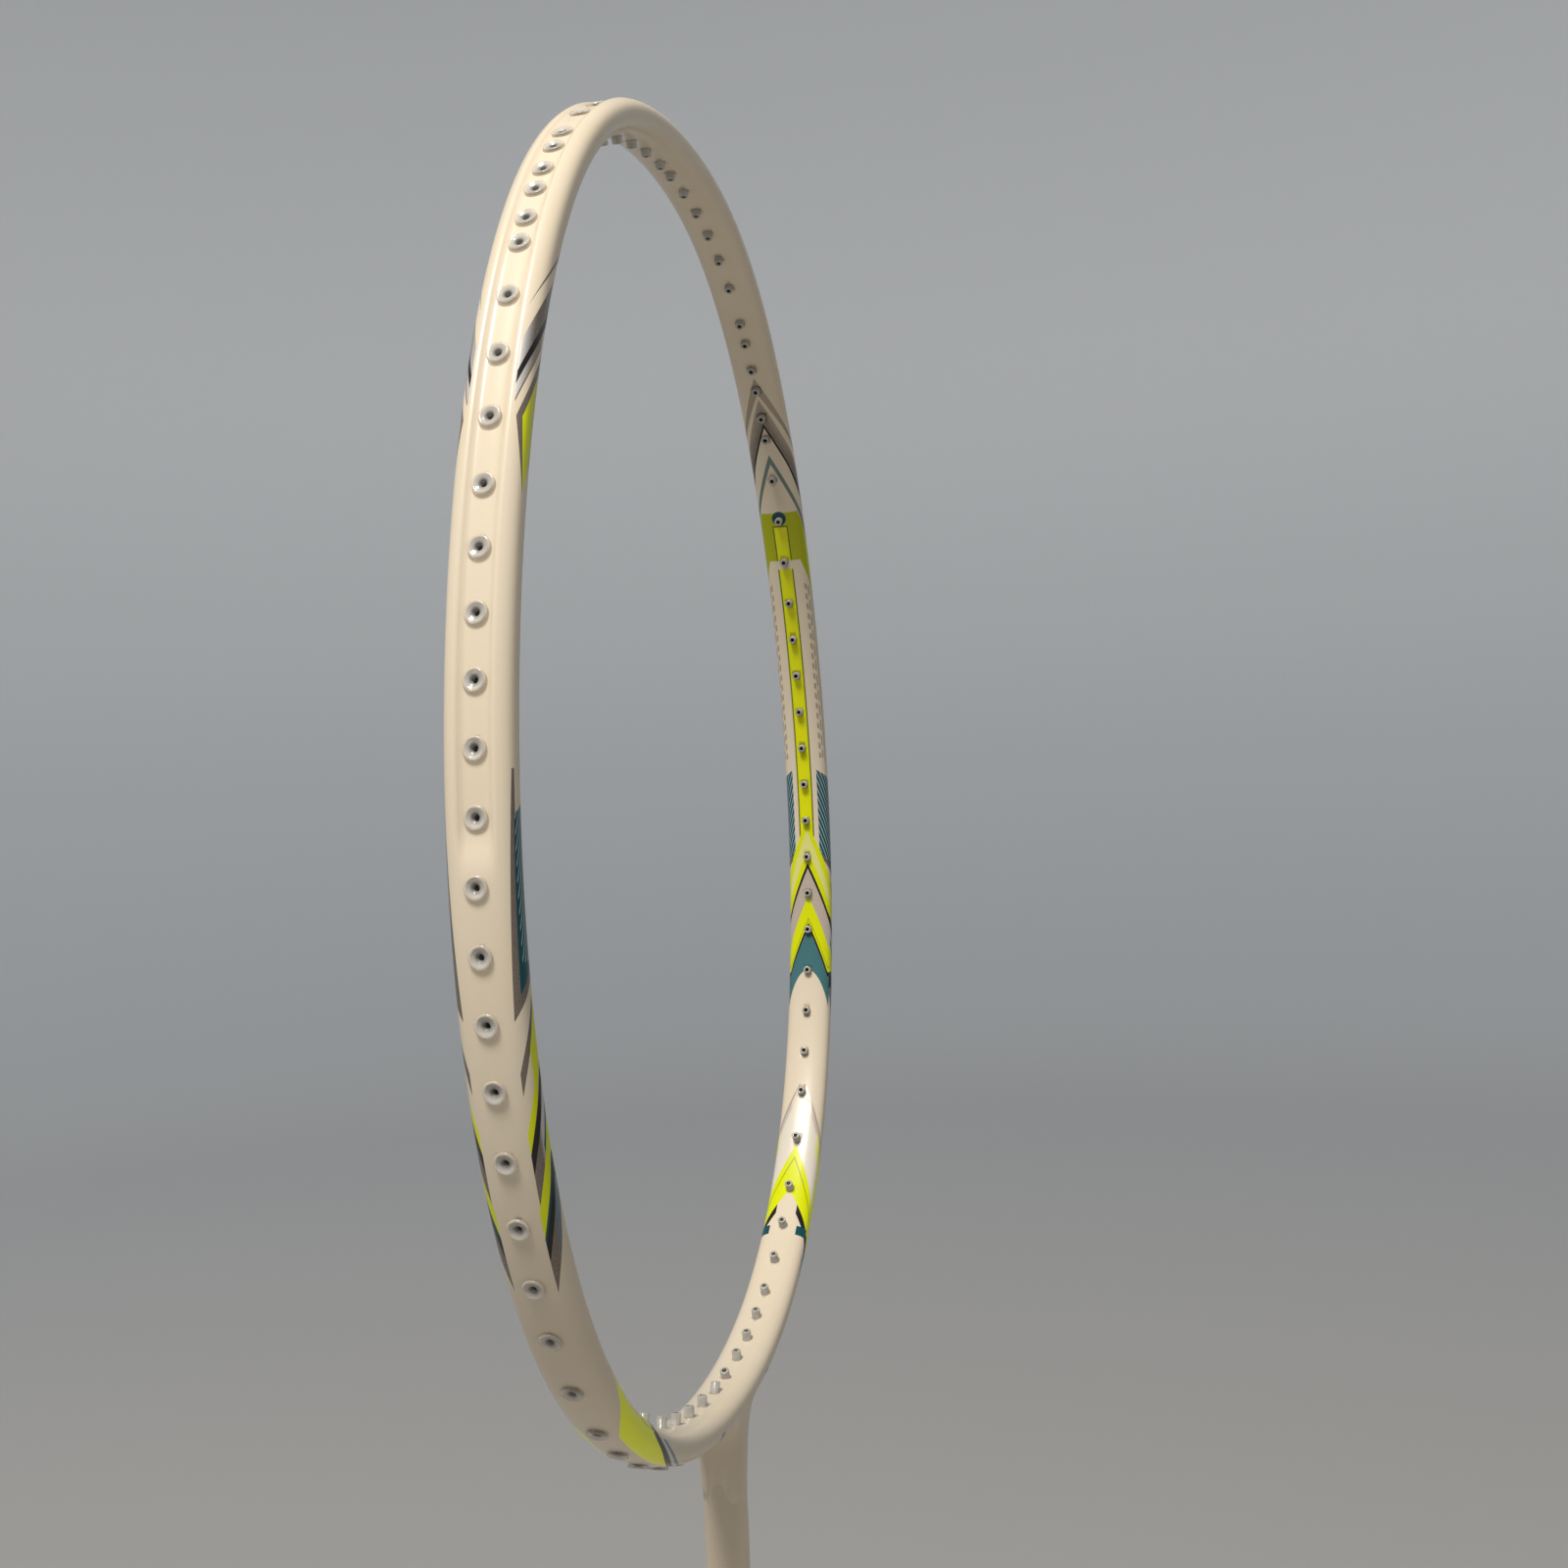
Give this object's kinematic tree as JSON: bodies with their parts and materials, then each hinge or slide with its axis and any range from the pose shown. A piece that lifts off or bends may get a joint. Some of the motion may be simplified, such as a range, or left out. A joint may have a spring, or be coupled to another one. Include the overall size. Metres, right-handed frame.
{
  "type": "badminton racket",
  "caption": "Unstrung badminton racket: a hollow carbon hoop with clear string grommets on a slim round shaft, with a cone, an eight-sided handle and a wound grip.",
  "frame": {"origin": "centre of the flat butt face", "axes": "+Z along the shaft to the crown of the head, +X across the width of the head, +Y square to the string plane"},
  "size_m": [0.2074, 0.0296, 0.6748],
  "materials": {
    "pearl_paint": "pearl cream lacquer over carbon, with decals under a clear coat",
    "carbon": "bare moulded carbon",
    "white_plastic": "satin moulded",
    "wood": "bare",
    "grip": "grained polyurethane tape",
    "tape": "smooth adhesive tape",
    "grey_medallion": "satin",
    "clear_nylon": "clear moulded nylon"
  },
  "bodies": {
    "root": {"head_frame": "pearl_paint", "throat_spigot": "carbon", "shaft": "pearl_paint", "cone_cap": "white_plastic", "handle_core": "wood", "butt_cap": "white_plastic", "butt_medallion": "grey_medallion", "grip_wrap": "grip", "finishing_tape": "tape", "grommet_left_06": "clear_nylon", "grommet_right_06": "clear_nylon", "grommet_left_07": "clear_nylon", "grommet_right_07": "clear_nylon", "grommet_left_08": "clear_nylon", "grommet_right_08": "clear_nylon", "grommet_left_09": "clear_nylon", "grommet_right_09": "clear_nylon", "grommet_left_10": "clear_nylon", "grommet_right_10": "clear_nylon", "grommet_left_11": "clear_nylon", "grommet_right_11": "clear_nylon", "grommet_left_12": "clear_nylon", "grommet_right_12": "clear_nylon", "grommet_left_13": "clear_nylon", "grommet_right_13": "clear_nylon", "grommet_left_14": "clear_nylon", "grommet_right_14": "clear_nylon", "grommet_left_15": "clear_nylon", "grommet_right_15": "clear_nylon", "grommet_left_16": "clear_nylon", "grommet_right_16": "clear_nylon", "grommet_left_17": "clear_nylon", "grommet_right_17": "clear_nylon", "grommet_left_18": "clear_nylon", "grommet_right_18": "clear_nylon", "grommet_left_19": "clear_nylon", "grommet_right_19": "clear_nylon", "grommet_left_20": "clear_nylon", "grommet_right_20": "clear_nylon", "grommet_left_21": "clear_nylon", "grommet_right_21": "clear_nylon", "grommet_left_22": "clear_nylon", "grommet_right_22": "clear_nylon", "grommet_left_23": "clear_nylon", "grommet_right_23": "clear_nylon", "grommet_left_24": "clear_nylon", "grommet_right_24": "clear_nylon", "grommet_left_25": "clear_nylon", "grommet_right_25": "clear_nylon", "grommet_left_26": "clear_nylon", "grommet_right_26": "clear_nylon", "grommet_left_27": "clear_nylon", "grommet_right_27": "clear_nylon", "grommet_left_28": "clear_nylon", "grommet_right_28": "clear_nylon", "grommet_left_29": "clear_nylon", "grommet_right_29": "clear_nylon", "grommet_left_30": "clear_nylon", "grommet_right_30": "clear_nylon"}
  },
  "joints": []
}
